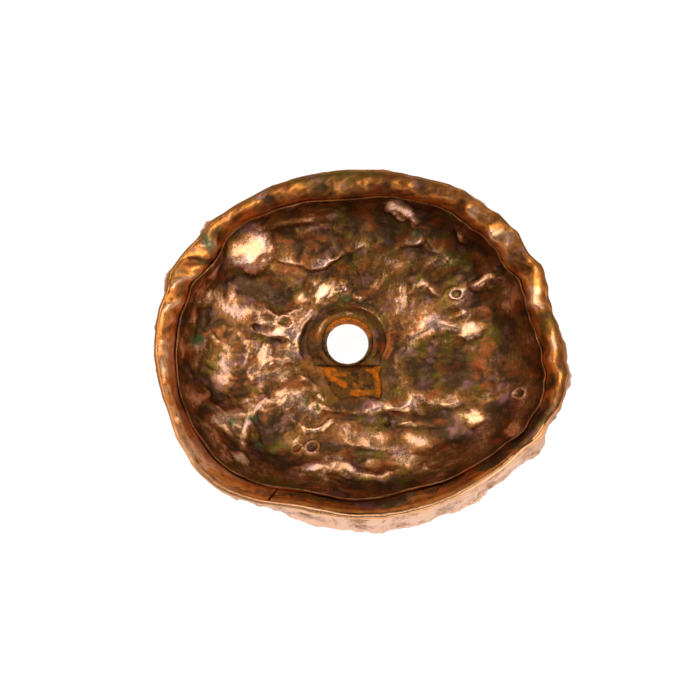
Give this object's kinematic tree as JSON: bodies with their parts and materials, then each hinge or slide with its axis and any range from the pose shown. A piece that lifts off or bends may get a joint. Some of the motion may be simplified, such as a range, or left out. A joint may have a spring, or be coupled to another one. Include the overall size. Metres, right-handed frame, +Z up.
{
  "type": "hammered copper bowl",
  "caption": "Oval, shallow, double-walled copper bowl with a turned-in rim strip and a collared bore through its middle.",
  "frame": {"origin": "on the table, under the middle of the bowl's outline box", "axes": "+Z up out of the hollow, +X along the long side of the oval, +Y towards the side the bore is nearer to"},
  "size_m": [0.1042, 0.0912, 0.026],
  "materials": {
    "shell_copper": "aged copper, hammered and pitted outside",
    "liner_copper": "aged copper, dark brown patina with bright worn high spots",
    "strip_copper": "aged copper, brushed",
    "collar_copper": "aged copper, rubbed along its crest",
    "ferrule_iron": "orange rust",
    "keeper_iron": "orange and dark brown rust"
  },
  "bodies": {
    "root": {"outer_shell": "shell_copper", "inner_liner": "liner_copper", "rim_strip": "strip_copper", "bore_collar": "collar_copper", "bore_ferrule": "ferrule_iron", "keeper_plate": "keeper_iron"}
  },
  "joints": []
}
